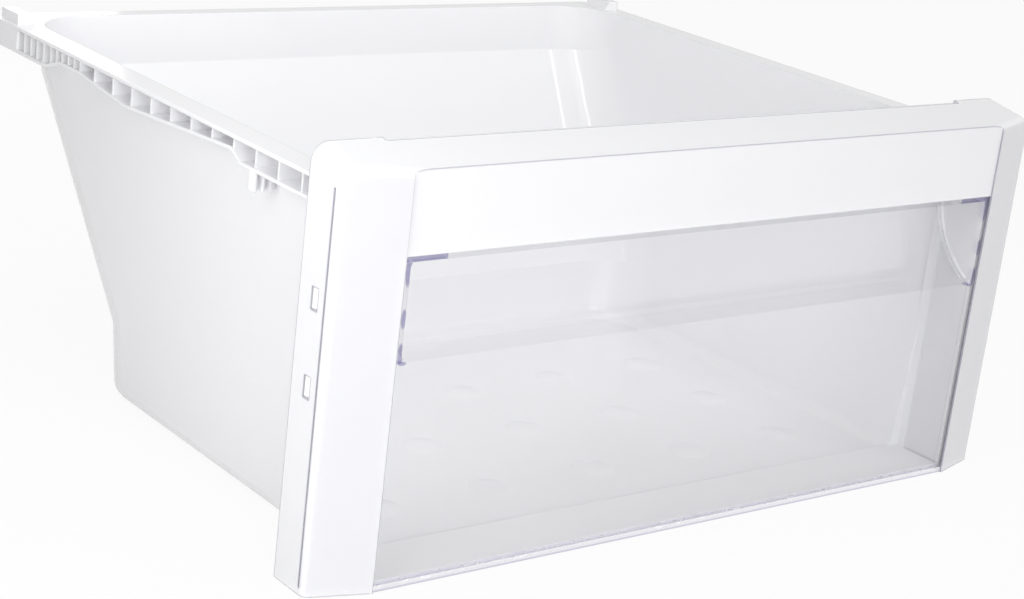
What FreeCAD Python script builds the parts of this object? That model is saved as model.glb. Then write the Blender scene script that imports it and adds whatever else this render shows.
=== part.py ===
import FreeCAD, Part
import math
import os

# Fridge crisper drawer: a white moulded tub with a clear clip-on front cover.
# Millimetres, +X to the right, +Y to the rear, +Z up. The model is drawn with y = 0 on the
# flat middle of the cover and is moved at the end so that its box stands centred on the origin.

# Whole drawer
DRAWER_WIDTH = 490.0         # over the cover's side flanges
DRAWER_DEPTH = 411.0         # flat middle of the cover to the rear edge of the rim
FRONT_HEIGHT = 219.0         # bottom to the crease at the top of the cover's front

# Front cover
COVER_WALL = 2.5
COVER_FLOOR = 2.0            # plate that closes the cover's bottom
COVER_DEPTH = 36.0           # front face to the rear edge of the top and the side flanges
COVER_TOP_RISE = 6.5         # how far the top climbs over that depth
COVER_CORNER_RADIUS = 10.0   # where the top turns into the sides
WING_WIDTH = 35.0            # swept part on each side of the flat middle
WING_SETBACK = 9.0           # how far a wing's outer edge lies behind the middle
WING_PROUD = 1.2             # how far a wing's inner edge stands in front of the middle
WING_EDGE_RADIUS = 5.0       # where a wing turns into its side flange
SEAM_WIDTH = 1.0             # groove in the side flange behind that rounding
SEAM_DEPTH = 1.0
SEAM_BOTTOM = 4.0
TOP_RELIEF_DEPTH = 4.0       # the top's rear edge is cut back by this much in the middle
TOP_RELIEF_MARGIN = 5.0      # and that cut stops this far short of the wings

# Finger scoop in the cover and the plates at its ends
BAND_HEIGHT = 45.8           # crease to the scoop's roof
SCOOP_MARGIN = 3.5           # wing to the end of the scoop
SCOOP_HEIGHT = 50.7
SCOOP_DEPTH = 32.0           # under its roof
SCOOP_END_WALL = 3.5
SCOOP_END_RADIUS = 3.0       # where its ends turn into its back and roof
RETURN_DEPTH = 29.0          # plates that run back from both edges of the window

# Snap latches in the side flanges
LATCH_HEIGHTS = (106.5, 151.5)
LATCH_Y = 22.0
LATCH_WINDOW_DEPTH = 5.7
LATCH_WINDOW_HEIGHT = 11.5
LATCH_CLEARANCE = 0.5
LATCH_LEAD = 1.0             # how far a hook already stands out at its low front end

# Tub
FIT = 0.3                    # clearance between the cover and the tub
TUB_WALL = 2.5
SIDE_DRAFT = 17.5            # how far each side wall leans in from the rim to the floor
REAR_SLOPE_DEPTH = 87.0      # how far the rear wall comes forward on its sloped part
REAR_SLOPE_DROP = 32.0       # rim to the upper end of that slope
REAR_SLOPE_BOTTOM = 42.0     # height of its lower end
REAR_CORNER_RADIUS = 40.0    # where the side walls turn into the rear wall
TUB_CORNER_RADIUS = 10.0     # round the floor
POST_GAP = 1.5               # cover's bottom plate to the lower end of the white posts

# Rim with its runners
RIM_DROP = 13.0              # crease of the cover to the top of the rim
RIM_INSET = 9.0              # side flange of the cover to the outer edge of the rim
RIM_FLANGE = 13.5            # outer edge of the rim to the side wall
REAR_LIP = 9.0               # rear edge of the rim to the rear wall
RIM_THICKNESS = 2.0
RIM_CORNER_RADIUS = 18.0
RIM_EDGE_RADIUS = 0.8        # along the top of its outer edge
SKIRT_HEIGHT = 15.5          # lip that hangs from the rear of the rim
SKIRT_THICKNESS = 2.0
SKIRT_SIDE_LENGTH = 38.0
RUNNER_THICKNESS = 2.0
RUNNER_DROP_FRONT = 13.8     # rim top to the runner's lower flange, in front
RUNNER_DROP_STEP = 8.5       # where the flange rises behind the front stretch
RUNNER_DROP_MIDDLE = 15.2    # at the lower end of the long middle stretch
RUNNER_DROP_NECK = 9.8       # short stretch in front of the rear step
RUNNER_DROP_REAR = 15.5
RUNNER_RAMP_LENGTH = 55.0    # climb from the middle stretch to the short one
REAR_STEP_FROM_REAR = 85.0
REAR_STEP_LENGTH = 18.0
RIB_THICKNESS = 1.5
FRONT_RIB_FIRST = 20.0       # front wall to the first rib
FRONT_RIB_PITCH = 21.9
FRONT_STRETCH_PITCHES = 2.6  # length of the front stretch, in rib pitches
MIDDLE_RIB_LEAD = 32.7       # first of the close ribs to the rear step
MIDDLE_RIB_PITCH = 7.4
MIDDLE_RIB_COUNT = 6
REAR_RIB_LEAD = 13.7         # rear step to the first rib behind it
REAR_RIB_PITCH = 8.3
REAR_RIB_COUNT = 5
STOP_TAB_FROM_FRONT = 68.0   # front wall to the rear of the tab
STOP_TAB_DROP = 24.0         # rim top to its lower edge
STOP_TAB_RIBS = 3
STOP_TAB_RIB_PITCH = 4.7
STOP_TAB_RIB_LENGTH = 4.0
STOP_BUMP_HEIGHT = 6.0
STOP_BUMP_LENGTH = 22.0
STOP_BUMP_WIDTH = 12.5
STOP_BUMP_TAPER = 4.3        # how far its inner flank leans outwards

# Domes on the floor
DOME_DIAMETER = 25.0
DOME_HEIGHT = 1.2
DOME_PITCH_X = 75.0
DOME_PITCH_Y = 66.0
DOME_FROM_FRONT = 46.0
DOME_MARGIN = 40.0           # least distance from a dome's middle to the tub's walls

# Values that follow from the sizes above
HALF_COVER = DRAWER_WIDTH / 2
HALF_CENTRE = HALF_COVER - WING_WIDTH
HALF_RIM = HALF_COVER - RIM_INSET
HALF_TUB = HALF_RIM - RIM_FLANGE
HALF_FLOOR = HALF_TUB - SIDE_DRAFT
WING_SLOPE = (WING_SETBACK + WING_PROUD) / WING_WIDTH
TOP_SLOPE = COVER_TOP_RISE / COVER_DEPTH
RIM_HEIGHT = FRONT_HEIGHT - RIM_DROP
RIM_UNDERSIDE = RIM_HEIGHT - RIM_THICKNESS
TUB_REAR = DRAWER_DEPTH - REAR_LIP
FLOOR_REAR = TUB_REAR - REAR_SLOPE_DEPTH
REAR_SLOPE_TOP = RIM_HEIGHT - REAR_SLOPE_DROP
FRAME_INSET = COVER_WALL + FIT
FRONT_WALL_Y = COVER_DEPTH + FIT
FRONT_WALL_REAR = FRONT_WALL_Y + TUB_WALL
POST_BOTTOM = COVER_FLOOR + POST_GAP
SILL_BOTTOM = COVER_FLOOR + FIT
SILL_TOP = SILL_BOTTOM + TUB_WALL
HALF_SCOOP = HALF_CENTRE - SCOOP_MARGIN
SCOOP_END = HALF_SCOOP + SCOOP_END_WALL
SCOOP_TOP = FRONT_HEIGHT - BAND_HEIGHT
OPENING_HALF = SCOOP_END + FIT
OPENING_TOP = SCOOP_TOP + COVER_WALL + FIT
REAR_STEP_Y = DRAWER_DEPTH - REAR_STEP_FROM_REAR
MIDDLE_RIB_START = REAR_STEP_Y - MIDDLE_RIB_LEAD
FRONT_RIB_START = FRONT_WALL_Y + FRONT_RIB_FIRST
LEAST_RADIUS = 0.5           # of a rounding whose wall leaves it no room
REACH = 600.0                # longer than any side of the drawer, for cutting bodies


def vec(x, y, z):
    return FreeCAD.Vector(x, y, z)


def box(x0, x1, y0, y1, z0, z1):
    return Part.makeBox(x1 - x0, y1 - y0, z1 - z0, vec(x0, y0, z0))


def prism(points, direction):
    """Solid made by pushing a closed outline of points along a direction."""
    wire = Part.makePolygon(points + points[:1])
    return Part.Face(wire).extrude(direction)


def fuse_all(shapes):
    return shapes[0].multiFuse(shapes[1:]).removeSplitter()


def both_sides(shape):
    """The shape and its mirror image across the middle plane."""
    return [shape, shape.mirror(vec(0, 0, 0), vec(1, 0, 0))]


def wing_y(x, inset):
    """Front of a wing at x, moved inwards by inset."""
    return (x - HALF_CENTRE) * WING_SLOPE - WING_PROUD + inset * math.hypot(1, WING_SLOPE)


def front_block(inset, bottom, rear):
    """Solid within the cover's front, wings, sides and top, moved inwards by inset."""
    half = HALF_COVER - inset
    step = HALF_CENTRE + inset
    right = [
        (step, inset),
        (step, wing_y(step, inset)),
        (half, wing_y(half, inset)),
        (half, rear),
    ]
    plan = right + [(-x, y) for x, y in reversed(right)]
    block = prism([vec(x, y, bottom) for x, y in plan], vec(0, 0, REACH))
    crease = FRONT_HEIGHT - inset * math.hypot(1, TOP_SLOPE)
    above = [
        vec(-REACH, -REACH, crease - REACH * TOP_SLOPE),
        vec(-REACH, REACH, crease + REACH * TOP_SLOPE),
        vec(-REACH, REACH, REACH * 3),
        vec(-REACH, -REACH, REACH * 3),
    ]
    block = block.cut(prism(above, vec(2 * REACH, 0, 0)))

    def is_top_side(edge):
        on_side = all(abs(abs(v.X) - half) < 0.01 for v in edge.Vertexes)
        high = all(v.Z > FRONT_HEIGHT / 2 for v in edge.Vertexes)
        runs_back = abs(edge.Vertexes[0].Y - edge.Vertexes[-1].Y) > 1
        return on_side and high and runs_back

    radius = max(COVER_CORNER_RADIUS - inset, LEAST_RADIUS)
    return block.makeFillet(radius, [e for e in block.Edges if is_top_side(e)])


def rounded_front():
    """Outer form of the cover, with the edges between wings and side flanges rounded."""
    block = front_block(0, 0, COVER_DEPTH)

    def is_wing_edge(edge):
        on_side = all(abs(abs(v.X) - HALF_COVER) < 0.01 for v in edge.Vertexes)
        in_front = all(abs(v.Y - WING_SETBACK) < 0.01 for v in edge.Vertexes)
        return on_side and in_front

    return block.makeFillet(WING_EDGE_RADIUS, [e for e in block.Edges if is_wing_edge(e)])


def scoop_profile(offset):
    """Section of the finger scoop, grown by offset: an arc that ends upright under the roof."""
    radius = (SCOOP_DEPTH ** 2 + SCOOP_HEIGHT ** 2) / (2 * SCOOP_DEPTH)
    centre_y = SCOOP_DEPTH - radius
    front_y = COVER_WALL / 2 if offset else -2 * WING_PROUD
    foot_angle = math.acos((front_y - centre_y) / (radius + offset))

    def on_arc(angle):
        reach = radius + offset
        return vec(0, centre_y + reach * math.cos(angle), SCOOP_TOP - reach * math.sin(angle))

    foot, back = on_arc(foot_angle), on_arc(0)
    roof_back = vec(0, back.y, SCOOP_TOP + offset)
    roof_front = vec(0, front_y, SCOOP_TOP + offset)
    outline = [Part.Arc(foot, on_arc(foot_angle / 2), back).toShape()]
    if offset:
        outline.append(Part.makeLine(back, roof_back))
    outline += [Part.makeLine(roof_back, roof_front), Part.makeLine(roof_front, foot)]
    return Part.Face(Part.Wire(outline))


def scoop_solid(offset, half):
    """Solid of that section, from one end of the scoop to the other."""
    face = scoop_profile(offset)
    face.translate(vec(-half, 0, 0))
    return face.extrude(vec(2 * half, 0, 0))


def scoop_room():
    """Hollow of the finger scoop, with its ends rounded into its back and roof."""
    room = scoop_solid(0, HALF_SCOOP)

    def is_end_edge(edge):
        at_end = all(abs(abs(v.X) - HALF_SCOOP) < 0.01 for v in edge.Vertexes)
        runs_back = abs(edge.Vertexes[0].Y - edge.Vertexes[-1].Y) > 1
        one_end = abs(edge.Vertexes[0].X - edge.Vertexes[-1].X) < 0.01
        return at_end and runs_back and one_end

    return room.makeFillet(SCOOP_END_RADIUS, [e for e in room.Edges if is_end_edge(e)])


def at_latches(x0, x1, y0, y1):
    """One block for each latch of the +X side, as high as the latch window."""
    half = LATCH_WINDOW_HEIGHT / 2
    return [box(x0, x1, y0, y1, z - half, z + half) for z in LATCH_HEIGHTS]


def side_cuts():
    """Latch windows in the +X flange and the groove behind its front rounding."""
    through = HALF_COVER - 2 * COVER_WALL
    outside = HALF_COVER + COVER_WALL
    windows = at_latches(
        through, outside, LATCH_Y - LATCH_WINDOW_DEPTH / 2, LATCH_Y + LATCH_WINDOW_DEPTH / 2)
    half_turn = math.pi / 4 - math.atan(WING_SLOPE) / 2
    seam_y = WING_SETBACK + WING_EDGE_RADIUS * math.tan(half_turn)
    seam_top = FRONT_HEIGHT - COVER_CORNER_RADIUS
    seam = box(
        HALF_COVER - SEAM_DEPTH, outside, seam_y, seam_y + SEAM_WIDTH, SEAM_BOTTOM, seam_top)
    slots = at_latches(through, outside, seam_y, seam_y + SEAM_WIDTH)
    return windows + [seam] + slots


def front_cover():
    inner = front_block(COVER_WALL, COVER_FLOOR, REACH)
    half_relief = HALF_CENTRE - TOP_RELIEF_MARGIN
    relief = box(
        -half_relief, half_relief, COVER_DEPTH - TOP_RELIEF_DEPTH, REACH,
        FRONT_HEIGHT - COVER_CORNER_RADIUS, REACH)
    shell = rounded_front().cut(inner).cut(relief)
    plate = box(
        SCOOP_END - COVER_WALL, SCOOP_END, COVER_WALL / 2, RETURN_DEPTH,
        SILL_TOP + FIT, SCOOP_TOP + COVER_WALL)
    cover = fuse_all([shell, scoop_solid(COVER_WALL, SCOOP_END)] + both_sides(plate))
    cover = cover.cut(scoop_room())
    for cut in side_cuts():
        for side in both_sides(cut):
            cover = cover.cut(side)
    return cover


def tub_half_width(z, inset):
    """Distance from the middle plane to a side wall at height z, moved inwards by inset."""
    draft = SIDE_DRAFT / RIM_HEIGHT
    return HALF_FLOOR + z * draft - inset * math.hypot(1, draft)


def tub_block(inset, front, top):
    """Drafted solid of the tub, with its walls and floor moved inwards by inset."""
    lean = math.atan2(REAR_SLOPE_DEPTH, REAR_SLOPE_TOP - REAR_SLOPE_BOTTOM)
    shift = inset * math.tan(lean / 2)
    profile = [
        vec(-REACH, front, inset),
        vec(-REACH, FLOOR_REAR - inset, inset),
        vec(-REACH, FLOOR_REAR - inset, REAR_SLOPE_BOTTOM + shift),
        vec(-REACH, TUB_REAR - inset, REAR_SLOPE_TOP + shift),
        vec(-REACH, TUB_REAR - inset, top),
        vec(-REACH, front, top),
    ]
    block = prism(profile, vec(2 * REACH, 0, 0))
    low, high = -TUB_WALL, top + TUB_WALL
    low_half, high_half = tub_half_width(low, inset), tub_half_width(high, inset)
    section = [
        vec(-low_half, -REACH, low),
        vec(low_half, -REACH, low),
        vec(high_half, -REACH, high),
        vec(-high_half, -REACH, high),
    ]
    block = block.common(prism(section, vec(0, 3 * REACH, 0)))

    def is_rear_corner(edge):
        one_side = edge.Vertexes[0].X * edge.Vertexes[-1].X > 0
        at_rear = all(v.Y > FLOOR_REAR - 2 * inset - 0.01 for v in edge.Vertexes)
        climbs = abs(edge.Vertexes[0].Z - edge.Vertexes[-1].Z) > 1
        return one_side and at_rear and climbs

    def is_floor_edge(edge):
        on_floor = all(abs(v.Z - inset) < 0.01 for v in edge.Vertexes)
        in_front = all(abs(v.Y - front) < 0.01 for v in edge.Vertexes)
        return on_floor and not in_front

    block = block.makeFillet(
        REAR_CORNER_RADIUS - inset, [e for e in block.Edges if is_rear_corner(e)])
    radius = max(TUB_CORNER_RADIUS - inset, LEAST_RADIUS)
    return block.makeFillet(radius, [e for e in block.Edges if is_floor_edge(e)])


def tub_inside(inset):
    """Inner room of the tub, open in front and above, for cutting."""
    return tub_block(inset, -REACH / 2, RIM_HEIGHT + TUB_WALL)


def tub_shell():
    return tub_block(0, FRONT_WALL_Y, RIM_HEIGHT).cut(tub_inside(TUB_WALL))


def white_frame():
    """Band, posts, sill and front wall of the tub, which show white through the cover."""
    def skin(rear):
        outer = front_block(FRAME_INSET, POST_BOTTOM, rear)
        return outer.cut(front_block(FRAME_INSET + TUB_WALL, 0, REACH))

    window = box(-OPENING_HALF, OPENING_HALF, -REACH, FRONT_WALL_Y, 0, OPENING_TOP)
    posts = skin(COVER_DEPTH).cut(window)
    above_rim = box(-HALF_TUB, HALF_TUB, 0, REACH, RIM_HEIGHT, REACH)
    top = skin(FRONT_WALL_REAR).common(above_rim)
    post_return = box(
        OPENING_HALF, OPENING_HALF + TUB_WALL,
        FRAME_INSET + TUB_WALL / 2, FRONT_WALL_REAR, POST_BOTTOM, OPENING_TOP)
    behind_posts = box(
        -OPENING_HALF - TUB_WALL, OPENING_HALF + TUB_WALL, 0, REACH, POST_BOTTOM, RIM_HEIGHT)
    outline = fuse_all([tub_block(0, 0, RIM_HEIGHT), behind_posts, above_rim])
    slab = box(-HALF_TUB, HALF_TUB, FRONT_WALL_Y, FRONT_WALL_REAR, 0, REACH)
    opening = box(-OPENING_HALF, OPENING_HALF, 0, REACH, 0, OPENING_TOP)
    opening = opening.common(tub_inside(TUB_WALL))
    wall = slab.common(outline).common(front_block(FRAME_INSET, 0, REACH)).cut(opening)
    half_sill = OPENING_HALF + TUB_WALL / 2
    sill = box(-half_sill, half_sill, FRAME_INSET, FRONT_WALL_REAR, SILL_BOTTOM, SILL_TOP)
    return [posts, top, wall, sill] + both_sides(post_return)


def latch_hooks():
    """Wedges on the +X post that catch in the cover's latch windows, low end in front."""
    root = HALF_COVER - FRAME_INSET - TUB_WALL / 2
    surface = HALF_COVER - FRAME_INSET
    tip = HALF_COVER - LATCH_CLEARANCE
    half_depth = LATCH_WINDOW_DEPTH / 2 - LATCH_CLEARANCE
    half_height = LATCH_WINDOW_HEIGHT / 2 - LATCH_CLEARANCE
    y0, y1 = LATCH_Y - half_depth, LATCH_Y + half_depth
    plan = [(root, y0), (surface + LATCH_LEAD, y0), (tip, y1), (root, y1)]
    hooks = []
    for height in LATCH_HEIGHTS:
        outline = [vec(x, y, height - half_height) for x, y in plan]
        hooks.append(prism(outline, vec(0, 0, 2 * half_height)))
    return hooks


def rim_outline(inset, z, height, edge_radius=0):
    """Rounded solid of the rim's outline, from the front wall to the rear."""
    half = HALF_RIM - inset
    rear = DRAWER_DEPTH - inset
    body = box(-half, half, FRONT_WALL_Y, rear, z, z + height)
    corners = [
        e for e in body.Edges
        if all(abs(v.Y - rear) < 0.01 for v in e.Vertexes)
        and abs(e.Vertexes[0].X - e.Vertexes[-1].X) < 0.01]
    body = body.makeFillet(max(RIM_CORNER_RADIUS - inset, LEAST_RADIUS), corners)
    if not edge_radius:
        return body

    def is_outer_top(edge):
        on_top = all(abs(v.Z - z - height) < 0.01 for v in edge.Vertexes)
        in_front = all(abs(v.Y - FRONT_WALL_Y) < 0.01 for v in edge.Vertexes)
        return on_top and not in_front

    return body.makeFillet(edge_radius, [e for e in body.Edges if is_outer_top(e)])


def rim():
    plate = rim_outline(0, RIM_UNDERSIDE, RIM_THICKNESS, RIM_EDGE_RADIUS)
    plate = plate.cut(tub_inside(TUB_WALL))
    skirt_bottom = RIM_HEIGHT - SKIRT_HEIGHT
    skirt = rim_outline(0, skirt_bottom, SKIRT_HEIGHT, RIM_EDGE_RADIUS)
    skirt = skirt.cut(rim_outline(SKIRT_THICKNESS, skirt_bottom - 1, SKIRT_HEIGHT + 2))
    rear_part = box(
        -HALF_RIM, HALF_RIM, DRAWER_DEPTH - SKIRT_SIDE_LENGTH, DRAWER_DEPTH, 0, RIM_HEIGHT)
    return [plate, skirt.common(rear_part)]


def runner_line():
    """Lower flange of a runner, seen from the side, from the front to the rear."""
    front_end = FRONT_RIB_START + FRONT_STRETCH_PITCHES * FRONT_RIB_PITCH
    places = [
        (FRONT_WALL_Y, RUNNER_DROP_FRONT),
        (front_end, RUNNER_DROP_FRONT),
        (front_end + FRONT_RIB_PITCH / 2, RUNNER_DROP_STEP),
        (MIDDLE_RIB_START - RUNNER_RAMP_LENGTH, RUNNER_DROP_MIDDLE),
        (MIDDLE_RIB_START, RUNNER_DROP_NECK),
        (REAR_STEP_Y - REAR_STEP_LENGTH / 2, RUNNER_DROP_NECK),
        (REAR_STEP_Y + REAR_STEP_LENGTH / 2, RUNNER_DROP_REAR),
        (DRAWER_DEPTH - SKIRT_THICKNESS / 2, RUNNER_DROP_REAR),
    ]
    return Part.makePolygon([vec(0, y, RIM_HEIGHT - drop) for y, drop in places])


def rib_places():
    """Places of a runner's ribs: wide apart in front, close on both sides of the step."""
    room = MIDDLE_RIB_START - MIDDLE_RIB_PITCH - FRONT_RIB_START
    front_count = int(room / FRONT_RIB_PITCH) + 1
    rows = [
        (FRONT_RIB_START, FRONT_RIB_PITCH, front_count),
        (MIDDLE_RIB_START, MIDDLE_RIB_PITCH, MIDDLE_RIB_COUNT),
        (REAR_STEP_Y + REAR_RIB_LEAD, REAR_RIB_PITCH, REAR_RIB_COUNT),
    ]
    return [start + i * pitch for start, pitch, count in rows for i in range(count)]


def runner():
    """Lower flange and ribs of the +X runner, as far in as the tub's wall."""
    line = runner_line()
    right_half = box(0, HALF_RIM, 0, REACH, 0, RIM_HEIGHT)
    zone = rim_outline(0, 0, RIM_HEIGHT - RIM_THICKNESS / 2).common(right_half)
    zone = zone.cut(tub_inside(TUB_WALL / 2))

    def above_line(height):
        faces = line.extrude(vec(0, 0, height)).Faces
        return fuse_all([face.extrude(vec(HALF_RIM, 0, 0)) for face in faces])

    flange = above_line(RUNNER_THICKNESS).common(zone)
    room = above_line(REACH)
    half = RIB_THICKNESS / 2
    ribs = [box(0, HALF_RIM - half, y - half, y + half, 0, RIM_HEIGHT) for y in rib_places()]
    return [flange] + [rib.common(zone).common(room) for rib in ribs]


def stop_tab():
    """Plate below the +X runner that faces forwards, with short ribs on its front."""
    bottom = RIM_HEIGHT - STOP_TAB_DROP
    top = RIM_HEIGHT - RUNNER_DROP_FRONT + RUNNER_THICKNESS / 2
    rear = FRONT_WALL_Y + STOP_TAB_FROM_FRONT
    front = rear - RUNNER_THICKNESS
    plate = box(0, HALF_RIM, front, rear, bottom, top)
    ends = [HALF_RIM - i * STOP_TAB_RIB_PITCH for i in range(STOP_TAB_RIBS)]
    ribs = [
        box(x - RIB_THICKNESS, x, front - STOP_TAB_RIB_LENGTH, rear, bottom, top) for x in ends]
    return fuse_all([plate] + ribs).cut(tub_inside(TUB_WALL / 2))


def stop_bump():
    """Raised stop on the rim at the +X rear corner, with a sloped inner flank."""
    inner = HALF_TUB - TUB_WALL
    outer = inner + STOP_BUMP_WIDTH
    low, high = RIM_HEIGHT - RIM_THICKNESS / 2, RIM_HEIGHT + STOP_BUMP_HEIGHT
    start = TUB_REAR - STOP_BUMP_LENGTH
    section = [
        vec(inner, start, low),
        vec(outer, start, low),
        vec(outer, start, high),
        vec(inner + STOP_BUMP_TAPER, start, high),
    ]
    return prism(section, vec(0, STOP_BUMP_LENGTH, 0))


def floor_domes():
    radius = (DOME_DIAMETER ** 2 / 4 + DOME_HEIGHT ** 2) / (2 * DOME_HEIGHT)
    sphere_z = TUB_WALL + DOME_HEIGHT - radius
    upper = box(-REACH, REACH, 0, REACH, TUB_WALL / 2, REACH)
    columns = int(2 * (HALF_FLOOR - DOME_MARGIN) / DOME_PITCH_X) + 1
    first_y = FRONT_WALL_Y + DOME_FROM_FRONT
    rows = int((FLOOR_REAR - DOME_MARGIN - first_y) / DOME_PITCH_Y) + 1
    domes = []
    for column in range(columns):
        for row in range(rows):
            x = (column - (columns - 1) / 2) * DOME_PITCH_X
            y = first_y + row * DOME_PITCH_Y
            sphere = Part.makeSphere(radius, vec(x, y, sphere_z), vec(1, 0, 0))
            domes.append(sphere.common(upper))
    return domes


def drawer_tub():
    pieces = [tub_shell()] + white_frame() + rim() + floor_domes()
    for piece in latch_hooks() + runner() + [stop_tab(), stop_bump()]:
        pieces += both_sides(piece)
    return fuse_all(pieces)


def main():
    os.makedirs("parts", exist_ok=True)
    nodes = {"drawer_tub": drawer_tub(), "front_cover": front_cover()}
    to_origin = vec(0, (WING_PROUD - DRAWER_DEPTH) / 2, 0)
    for name, shape in nodes.items():
        shape.translate(to_origin)
        print(name, shape.isValid(), len(shape.Solids), round(shape.Volume / 1000, 1), "cm3")
        shape.exportStep("parts/" + name + ".step")


main()
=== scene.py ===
import math

import bpy
from mathutils import Matrix, Vector

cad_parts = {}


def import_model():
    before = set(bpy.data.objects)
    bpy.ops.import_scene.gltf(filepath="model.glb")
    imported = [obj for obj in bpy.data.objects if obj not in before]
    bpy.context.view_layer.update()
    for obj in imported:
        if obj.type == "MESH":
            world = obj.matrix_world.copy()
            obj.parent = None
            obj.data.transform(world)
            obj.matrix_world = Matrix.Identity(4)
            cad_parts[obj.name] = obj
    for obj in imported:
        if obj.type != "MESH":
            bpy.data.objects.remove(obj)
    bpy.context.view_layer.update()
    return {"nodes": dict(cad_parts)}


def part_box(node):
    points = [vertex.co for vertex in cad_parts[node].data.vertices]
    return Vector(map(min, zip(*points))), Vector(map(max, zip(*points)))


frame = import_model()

# Camera of the photograph, in metres and degrees: azimuth 0 looks at the drawer's front
CAMERA_PLACE = Vector((-0.80346, -1.01558, 0.47908))
CAMERA_AZIMUTH = -39.197
CAMERA_ELEVATION = 17.566
CAMERA_ROLL = 6.824
CAMERA_LENS_MM = 77.52
SENSOR_WIDTH_MM = 36.0

# White plastic, with lengths in metres
WHITE = (0.945, 0.945, 0.960, 1.0)
WHITE_SHADE = (0.930, 0.930, 0.948, 1.0)
# Painted shade: dark lilac lines along the edges of the white frame behind the cover and on the step
# beside the wings
WHITE_EDGE_SHADE = (0.47, 0.46, 0.54, 1.0)
# Painted shade: the wings are greyer than the band, less so on faces that look sideways
WING_PAINTED_SHADE = (0.80, 0.80, 0.825, 1.0)
WHITE_IOR = 1.52
TUB_ROUGHNESS = (0.09, 0.13)
BACKING_ROUGHNESS = (0.08, 0.14)
CLOUD_SCALE = 9.0
GRAIN_SCALE = 900.0
GRAIN_STRENGTH = 0.05
GRAIN_DEPTH = 0.0003
WHITE_EDGE_RADIUS = 0.0007
WHITE_LINE_RADIUS = 0.0016
WHITE_LINE_FULL = 0.90

# Clear plastic: what one surface lets through on its faces and its thick places, with painted shade along
# its edges and on the step
CLEAR = (0.997, 0.997, 1.0, 1.0)
# Painted shade: darker lilac lines along the edges of the clear plastic
CLEAR_EDGE_SHADE = (0.91, 0.91, 0.945, 1.0)
CLEAR_THICK = (0.54, 0.52, 0.70, 1.0)
# Painted shade on the face of the step beside the wings
CLEAR_STEP_SHADE = (0.76, 0.74, 0.82, 1.0)
CLEAR_FOOT = (0.93, 0.925, 0.955, 1.0)
CLEAR_BOTTOM_LINE = (0.70, 0.68, 0.78, 1.0)
UNTINTED = (1.0, 1.0, 1.0, 1.0)
CLEAR_EDGE_RADIUS = 0.0006

# Clear plastic: its mirror, its faint waves and its white frost, which holds painted light: a painted
# highlight on the scoop's end curve, painted light on sideways faces and glints painted into the specks
# along the foot
MIRROR_HEAD_ON = 0.05
MIRROR_POWER = 5.0
MIRROR_ROUGHNESS = 0.04
WAVE_SCALE = 14.0
WAVE_STRENGTH = 0.04
WAVE_DEPTH = 0.004
SIDE_CALM = 0.8
# Painted light: a faint white on faces that look sideways, brightening the return plates
SIDE_PAINTED_LIGHT = 0.15
# Painted highlight: white along the curve where the scoop meets its end walls
CURVE_PAINTED_HIGHLIGHT = 0.5
# Specks on the textured foot, with their glints painted in as white
SPARKLE_SCALE = 520.0
SPARKLE_STRETCH = (0.4, 1.0, 1.0)
SPARKLE_RANGE = (0.54, 0.66)

# Masks: shares of a normal, where an edge begins, and how softly a place ends, in metres
SIDEWAYS_RANGE = (0.6, 0.8)
LEVEL_RANGE = (0.3, 0.6)
EDGE_BEGINS = 0.995
EDGE_FULL = 0.80
BEVEL_SAMPLES = 6
FINE = 0.0002
SOFT = 0.0003
CURVE_SOFT = 0.0004
WIDE = 0.0005

# Places on the clear cover, in metres from its box. Those across it count for both halves.
COVER_LOW, COVER_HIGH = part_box("front_cover")
COVER_FRONT = COVER_LOW[1] + 0.0012
COVER_WALL = 0.0025
WING_FROM = COVER_HIGH[0] - 0.0350
SCOOP_HALF = WING_FROM - 0.0035
SCOOP_TOP = COVER_HIGH[2] - 0.0523
SCOOP_BOTTOM = SCOOP_TOP - 0.0507
LIP_HEIGHT = COVER_LOW[2] + 0.0046

# Thick places: the roof of the scoop near its ends, and drops beside it, given as their distance
# in from the wing and down from the scoop's top, half width and half height
ROOF_ACROSS = (WING_FROM - 0.0250, WING_FROM - 0.0005)
ROOF_HEIGHTS = (SCOOP_TOP, SCOOP_TOP + 0.0031)
PURPLE_DROPS = (
    (0.0026, 0.0042, 0.0019, 0.0090),
    (0.0024, 0.0287, 0.0016, 0.0056),
    (0.0026, 0.0467, 0.0017, 0.0062),
    (0.0044, 0.0518, 0.0026, 0.0011))
DROP_RANGE = (1.1, 0.5)

# Step between the wings and the flat middle, whose face is painted in shade
STEP_DEPTHS = (COVER_FRONT + 0.0004, COVER_FRONT + 0.0001)
STEP_ACROSS = (WING_FROM - 0.0003, WING_FROM + 0.0004)
NO_EDGE_SHADE_ACROSS = (WING_FROM - 0.0015, WING_FROM + 0.0015)

# Foot of the cover, and the painted highlight on the curve at the scoop's ends
BOTTOM_LINE_HEIGHT = COVER_LOW[2] + 0.0010
SPARKLE_HEIGHTS = (COVER_LOW[2] + 0.0020, LIP_HEIGHT - 0.0010)
CURVE_ACROSS = (SCOOP_HALF - 0.0024, SCOOP_HALF - 0.0006)
CURVE_DEPTHS = (COVER_FRONT + 0.0028, COVER_FRONT + 0.0036)
CURVE_HEIGHTS = (SCOOP_BOTTOM + 0.0010, SCOOP_TOP - 0.0005)

# White frame behind the wings and the band
BACKING = 0.93
BACKED_ABOVE = SCOOP_TOP + 0.0028
BACKED_ACROSS = (WING_FROM - 0.0001, WING_FROM + 0.0003)
BACKED_SIDE_ACROSS = (WING_FROM - 0.0006, WING_FROM - 0.0002)
# Share by which faces that look sideways get less of the wings' painted shade
WING_SIDE_CALM = 0.6

# Stage
FLOOR_SIZE = 24.0
FLOOR_COLOUR = (0.74, 0.74, 0.74, 1.0)
FLOOR_OWN_WHITE = 0.92
WORLD_BRIGHT_SIDE = (0.86, -0.50, 0.0)
WORLD_BRIGHT = 1.06
WORLD_DIM = 0.22

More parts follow.
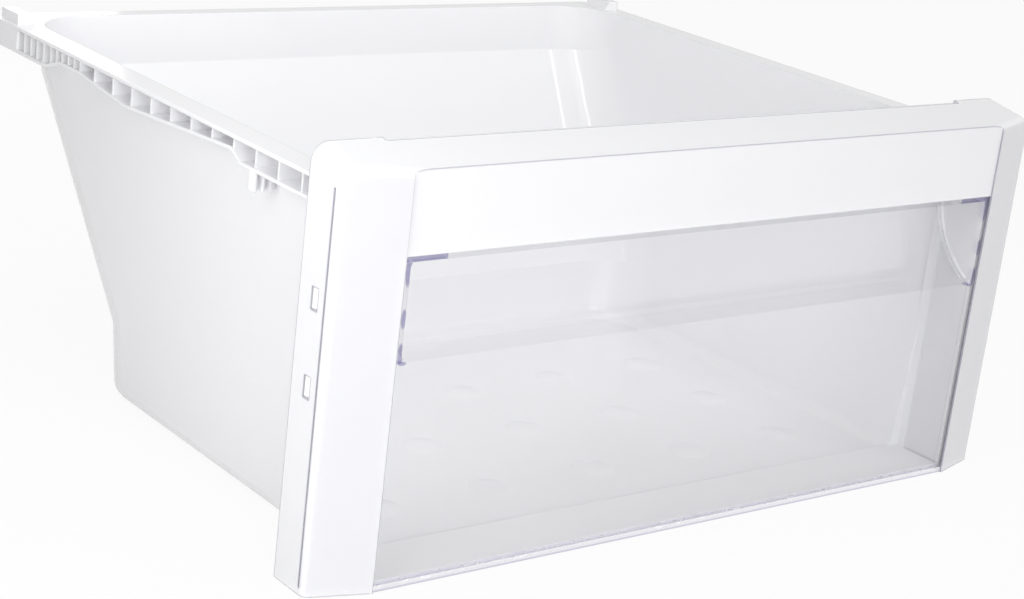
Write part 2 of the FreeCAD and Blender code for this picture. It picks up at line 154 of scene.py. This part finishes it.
# Lamps: name, place and target in metres, width and height in metres, watts
LAMPS = (
    ("front_lamp", (-0.45, -1.35, 0.48), (0.0, -0.1, 0.1), 1.0, 0.6, 6.0),
    ("side_lamp", (-0.60, -0.26, 0.30), (-0.22, -0.2, 0.12), 0.25, 0.45, 1.1),
    ("top_lamp", (-0.40, -0.20, 1.45), (0.0, 0.0, 0.0), 1.0, 1.0, 3.2),
    ("rear_lamp", (-0.05, 0.95, 0.36), (0.0, 0.1, 0.1), 0.6, 0.4, 1.0),
    ("right_strip", (0.50, -0.60, 1.43), (0.2, 0.15, 0.15), 0.07, 0.9, 1.3),
    ("left_strip", (-0.55, -0.38, 1.34), (0.2, 0.15, 0.15), 0.07, 0.9, 1.4))


class Graph:
    """Adds nodes to a node tree. An input is given as a socket, a number or a colour."""

    def __init__(self, owner):
        owner.use_nodes = True
        self.tree = owner.node_tree
        self.tree.nodes.clear()

    def add(self, kind, inputs=None, **settings):
        node = self.tree.nodes.new(kind)
        for key, value in settings.items():
            setattr(node, key, value)
        for key, value in (inputs or {}).items():
            if isinstance(value, bpy.types.NodeSocket):
                self.tree.links.new(value, node.inputs[key])
            else:
                node.inputs[key].default_value = value
        return node

    def math(self, operation, *values):
        return self.add("ShaderNodeMath", dict(enumerate(values)), operation=operation).outputs[0]

    def product(self, first, *others):
        for other in others:
            first = self.math("MULTIPLY", first, other)
        return first

    def largest(self, first, *others):
        for other in others:
            first = self.math("MAXIMUM", first, other)
        return first

    def rest(self, share):
        """What a share leaves of 1."""
        return self.math("SUBTRACT", 1.0, share)

    def parts(self, vector):
        return self.add("ShaderNodeSeparateXYZ", {"Vector": vector}).outputs

    def dot(self, first, second):
        inputs = {0: first, 1: second}
        return self.add("ShaderNodeVectorMath", inputs, operation="DOT_PRODUCT").outputs["Value"]

    def ramp(self, value, start, end):
        """Smooth rise from 0 at start to 1 at end, or a fall where end is the lower one."""
        inputs = {"Value": value, "From Min": start, "From Max": end}
        node = self.add("ShaderNodeMapRange", inputs, interpolation_type="SMOOTHSTEP")
        return node.outputs["Result"]

    def above(self, value, limit, soft):
        """1 above a limit, with a soft start."""
        return self.ramp(value, limit - soft, limit + soft)

    def below(self, value, limit, soft):
        """1 below a limit, with a soft end."""
        return self.ramp(value, limit + soft, limit - soft)

    def within(self, value, low, high, soft):
        """1 between low and high, with soft ends."""
        return self.product(self.above(value, low, soft), self.below(value, high, soft))

    def blend(self, share, first, second):
        inputs = {"Factor": share, "A": first, "B": second}
        return self.add("ShaderNodeMix", inputs, data_type="RGBA").outputs["Result"]

    def mix(self, share, first, second):
        """Share of the second shader over the first."""
        return self.add("ShaderNodeMixShader", {"Fac": share, 1: first, 2: second}).outputs["Shader"]

    def noise(self, vector, scale, detail=2.0):
        inputs = {"Vector": vector, "Scale": scale, "Detail": detail}
        return self.add("ShaderNodeTexNoise", inputs).outputs["Fac"]

    def rounded(self, radius):
        """Normal of the surface as if its edges were rounded."""
        bevel = self.add("ShaderNodeBevel", {"Radius": radius}, samples=BEVEL_SAMPLES)
        return bevel.outputs["Normal"]

    def edges(self, radius, full=EDGE_FULL):
        """1 on sharp edges, falling to 0 at about radius from them. A higher full makes the lines
        wider."""
        plain = self.add("ShaderNodeNewGeometry").outputs["Normal"]
        alike = self.math("ABSOLUTE", self.dot(self.rounded(radius), plain))
        return self.ramp(alike, EDGE_BEGINS, full)

    def seen_or_mirrored(self):
        """1 for rays from the camera and for those that are mirrored or go through glass."""
        path = self.add("ShaderNodeLightPath").outputs
        return self.largest(path["Is Camera Ray"], path["Is Glossy Ray"], path["Is Transmission Ray"])


class CoverPlaces:
    """Where a point lies on the clear cover, and masks by place and by the way a face looks."""

    def __init__(self, graph):
        self.place = graph.add("ShaderNodeTexCoord").outputs["Object"]
        split = graph.parts(self.place)
        self.x = graph.math("ABSOLUTE", split["X"])
        self.y = split["Y"]
        self.z = split["Z"]
        normal = graph.parts(graph.add("ShaderNodeNewGeometry").outputs["Normal"])
        self.sideways = graph.ramp(graph.math("ABSOLUTE", normal["X"]), *SIDEWAYS_RANGE)
        self.level = graph.ramp(graph.math("ABSOLUTE", normal["Z"]), *LEVEL_RANGE)
        self.in_front = graph.ramp(self.y, COVER_FRONT + 2 * COVER_WALL, COVER_FRONT + COVER_WALL)
        # Face of the step beside the wings, which the clear tint and the white frame paint in shade
        before_flat = graph.ramp(self.y, *STEP_DEPTHS)
        by_wing = graph.within(self.x, *STEP_ACROSS, FINE)
        self.step = graph.product(before_flat, self.sideways, by_wing)


def white_surface(graph, place, roughness, tints=()):
    """White plastic with a faint unevenness of colour, gloss and surface. Roughness is a pair of
    its least and most. Tints are pairs of a share and a colour that are laid over the white in
    turn."""
    cloud = graph.noise(place, CLOUD_SCALE, 3.0)
    bump = graph.add("ShaderNodeBump", {
        "Height": graph.noise(place, GRAIN_SCALE), "Strength": GRAIN_STRENGTH,
        "Distance": GRAIN_DEPTH, "Normal": graph.rounded(WHITE_EDGE_RADIUS)})
    smooth, rough = roughness
    gloss = graph.add("ShaderNodeMapRange", {"Value": cloud, "To Min": smooth, "To Max": rough})
    colour = graph.blend(cloud, WHITE, WHITE_SHADE)
    for share, tint in tints:
        colour = graph.blend(share, colour, tint)
    shader = graph.add("ShaderNodeBsdfPrincipled", {
        "Base Color": colour,
        "Roughness": gloss.outputs["Result"],
        "IOR": WHITE_IOR,
        "Normal": bump.outputs["Normal"]})
    return shader.outputs["BSDF"]


def white_plastic():
    """Satin white plastic of the tub."""
    material = bpy.data.materials.new("white_plastic")
    graph = Graph(material)
    place = graph.add("ShaderNodeTexCoord").outputs["Object"]
    surface = white_surface(graph, place, TUB_ROUGHNESS)
    graph.add("ShaderNodeOutputMaterial", {"Surface": surface})
    return material


def thick_places(graph, on):
    """Where the clear plastic is seen along its wall: the ends of the scoop."""
    roof = graph.within(on.z, *ROOF_HEIGHTS, SOFT)
    marks = graph.product(roof, graph.within(on.x, *ROOF_ACROSS, SOFT))
    for inward, down, half_x, half_z in PURPLE_DROPS:
        across = graph.math("DIVIDE", graph.math("SUBTRACT", on.x, WING_FROM - inward), half_x)
        along = graph.math("DIVIDE", graph.math("SUBTRACT", on.z, SCOOP_TOP - down), half_z)
        away = graph.math("ADD", graph.product(across, across), graph.product(along, along))
        marks = graph.largest(marks, graph.ramp(away, *DROP_RANGE))
    return graph.product(marks, on.in_front)


def clear_tint(graph, on):
    """Colour that one surface of the clear plastic lets through, with painted shade along its edges and
    on the step beside the wings.
    """
    # Painted shade along the clear plastic's edges
    tint = graph.blend(graph.edges(CLEAR_EDGE_RADIUS), CLEAR, CLEAR_EDGE_SHADE)
    tint = graph.blend(thick_places(graph, on), tint, CLEAR_THICK)
    tint = graph.blend(graph.product(on.sideways, SIDE_CALM), tint, UNTINTED)
    # Painted shade on the step's face
    tint = graph.blend(on.step, tint, CLEAR_STEP_SHADE)
    foot = graph.product(on.in_front, graph.below(on.z, LIP_HEIGHT, SOFT))
    tint = graph.blend(foot, tint, CLEAR_FOOT)
    bottom_line = graph.product(on.in_front, graph.below(on.z, BOTTOM_LINE_HEIGHT, SOFT))
    return graph.blend(bottom_line, tint, CLEAR_BOTTOM_LINE)


def see_through(graph, on):
    """Clear plastic that shows what is behind it and mirrors more at a slant."""
    waves = graph.add("ShaderNodeBump", {
        "Height": graph.noise(on.place, WAVE_SCALE), "Strength": WAVE_STRENGTH,
        "Distance": WAVE_DEPTH}).outputs["Normal"]
    through = graph.add("ShaderNodeBsdfTransparent", {"Color": clear_tint(graph, on)})
    mirror = graph.add("ShaderNodeBsdfGlossy", {"Roughness": MIRROR_ROUGHNESS, "Normal": waves})
    slant = graph.add("ShaderNodeLayerWeight", {"Blend": 0.5, "Normal": waves}).outputs["Facing"]
    rise = graph.math("POWER", slant, MIRROR_POWER)
    share = graph.math("MULTIPLY_ADD", rise, 1 - MIRROR_HEAD_ON, MIRROR_HEAD_ON)
    share = graph.product(share, graph.rest(graph.product(on.sideways, SIDE_CALM)))
    return graph.mix(share, through.outputs["BSDF"], mirror.outputs["BSDF"])


def frost_and_painted_light_share(graph, on):
    """Where the clear plastic scatters white: specks along its textured foot, with its glints painted in,
    a painted highlight on the curve at the scoop's ends and, faintly, painted light on faces that look
    sideways."""
    stretched = graph.add("ShaderNodeVectorMath", {0: on.place, 1: SPARKLE_STRETCH}, operation="MULTIPLY")
    specks = graph.noise(stretched.outputs["Vector"], SPARKLE_SCALE, 3.0)
    sparkle = graph.ramp(specks, *SPARKLE_RANGE)
    # Textured foot, whose glints are painted in as white specks
    lip = graph.product(sparkle, on.in_front, graph.within(on.z, *SPARKLE_HEIGHTS, WIDE))
    # Painted highlight on the curve at the scoop's ends
    curve_highlight = graph.product(
        graph.within(on.x, *CURVE_ACROSS, CURVE_SOFT),
        graph.ramp(on.y, *CURVE_DEPTHS),
        graph.within(on.z, *CURVE_HEIGHTS, WIDE),
        CURVE_PAINTED_HIGHLIGHT)
    # Faces that look sideways get faint painted light
    return graph.largest(lip, curve_highlight, graph.product(on.sideways, SIDE_PAINTED_LIGHT))


def backed_share(graph, on):
    """Where the white frame lies behind the cover: at the wings and the band."""
    wings = graph.ramp(on.x, *BACKED_ACROSS)
    wing_sides = graph.product(on.sideways, graph.ramp(on.x, *BACKED_SIDE_ACROSS))
    band = graph.above(on.z, BACKED_ABOVE, SOFT)
    return graph.product(graph.largest(wings, wing_sides, band), BACKING)


def backing(graph, on):
    """White of the frame behind the cover, with painted shade: greyer on the wings, and fine dark lines
    along its edges and on the step.
    """
    # Painted shade on the wings: none on faces that look up or down, less on those that look sideways
    wing_shade = graph.product(
        graph.rest(on.level),
        graph.rest(graph.product(on.sideways, WING_SIDE_CALM)),
        graph.above(on.x, WING_FROM, FINE))
    # Painted shade along the frame's edges, left off beside the step, and on the step's face
    off_step = graph.rest(graph.within(on.x, *NO_EDGE_SHADE_ACROSS, SOFT))
    edge_shade = graph.product(graph.edges(WHITE_LINE_RADIUS, WHITE_LINE_FULL), off_step)
    tints = ((wing_shade, WING_PAINTED_SHADE), (edge_shade, WHITE_EDGE_SHADE), (on.step, WHITE_EDGE_SHADE))
    return white_surface(graph, on.place, BACKING_ROUGHNESS, tints)


def clear_plastic():
    """Clear moulded plastic of the cover, backed in white at the wings and the band."""
    material = bpy.data.materials.new("clear_plastic")
    graph = Graph(material)
    on = CoverPlaces(graph)
    frost_and_painted_light = graph.add("ShaderNodeBsdfDiffuse", {"Color": WHITE}).outputs["BSDF"]
    frosted_and_painted = graph.mix(frost_and_painted_light_share(graph, on), see_through(graph, on), frost_and_painted_light)
    surface = graph.mix(backed_share(graph, on), frosted_and_painted, backing(graph, on))
    graph.add("ShaderNodeOutputMaterial", {"Surface": surface})
    return material


def dress(name, material):
    """Gives a CAD node its material."""
    item = frame["nodes"][name]
    item.data.materials.clear()
    item.data.materials.append(material)


def floor():
    """Wide pale floor: nearly white by itself to the camera, with the drawer's soft shadow."""
    half = FLOOR_SIZE / 2
    mesh = bpy.data.meshes.new("floor")
    corners = [(-half, -half, 0), (half, -half, 0), (half, half, 0), (-half, half, 0)]
    mesh.from_pydata(corners, [], [(0, 1, 2, 3)])
    item = bpy.data.objects.new("floor", mesh)
    bpy.context.scene.collection.objects.link(item)
    material = bpy.data.materials.new("floor")
    graph = Graph(material)
    matt = graph.add("ShaderNodeBsdfDiffuse", {"Color": FLOOR_COLOUR}).outputs["BSDF"]
    white = graph.add("ShaderNodeEmission").outputs["Emission"]
    share = graph.product(graph.seen_or_mirrored(), FLOOR_OWN_WHITE)
    graph.add("ShaderNodeOutputMaterial", {"Surface": graph.mix(share, matt, white)})
    mesh.materials.append(material)


def world():
    """White surroundings for the camera and mirrors, and a soft light that is stronger on the
    front right."""
    setting = bpy.data.worlds.new("studio")
    bpy.context.scene.world = setting
    graph = Graph(setting)
    direction = graph.add("ShaderNodeTexCoord").outputs["Generated"]
    light = graph.add("ShaderNodeMapRange", {
        "Value": graph.dot(direction, WORLD_BRIGHT_SIDE), "From Min": -1.0,
        "To Min": WORLD_DIM, "To Max": WORLD_BRIGHT})
    level = graph.add("ShaderNodeMix", {
        "Factor": graph.seen_or_mirrored(), "A": light.outputs["Result"], "B": 1.0})
    background = graph.add("ShaderNodeBackground", {"Strength": level.outputs["Result"]})
    graph.add("ShaderNodeOutputWorld", {"Surface": background.outputs["Background"]})


def softbox(name, place, target, width, height, watts):
    """Rectangular lamp at a place, turned to a target."""
    lamp = bpy.data.lights.new(name, "AREA")
    lamp.shape = "RECTANGLE"
    lamp.size = width
    lamp.size_y = height
    lamp.energy = watts
    item = bpy.data.objects.new(name, lamp)
    bpy.context.scene.collection.objects.link(item)
    item.location = place
    aim = Vector(target) - Vector(place)
    item.rotation_euler = aim.to_track_quat("-Z", "Y").to_euler()
    item.visible_camera = False


def camera():
    """Camera at the photograph's place, with its turn about the line of sight."""
    azimuth = math.radians(CAMERA_AZIMUTH)
    elevation = math.radians(CAMERA_ELEVATION)
    roll = math.radians(CAMERA_ROLL)
    back = Vector((
        math.sin(azimuth) * math.cos(elevation),
        -math.cos(azimuth) * math.cos(elevation),
        math.sin(elevation)))
    right = Vector((0, 0, 1)).cross(back).normalized()
    up = back.cross(right)
    turned_right = right * math.cos(roll) + up * math.sin(roll)
    turned_up = up * math.cos(roll) - right * math.sin(roll)
    view = bpy.data.cameras.new("photo_camera")
    view.sensor_fit = "HORIZONTAL"
    view.sensor_width = SENSOR_WIDTH_MM
    view.lens = CAMERA_LENS_MM
    item = bpy.data.objects.new("photo_camera", view)
    bpy.context.scene.collection.objects.link(item)
    turn = Matrix((turned_right, turned_up, back)).transposed()
    item.matrix_world = Matrix.Translation(CAMERA_PLACE) @ turn.to_4x4()
    bpy.context.scene.camera = item


dress("drawer_tub", white_plastic())
dress("front_cover", clear_plastic())
floor()
world()
for lamp_settings in LAMPS:
    softbox(*lamp_settings)
camera()
bpy.context.scene.view_settings.view_transform = "Standard"
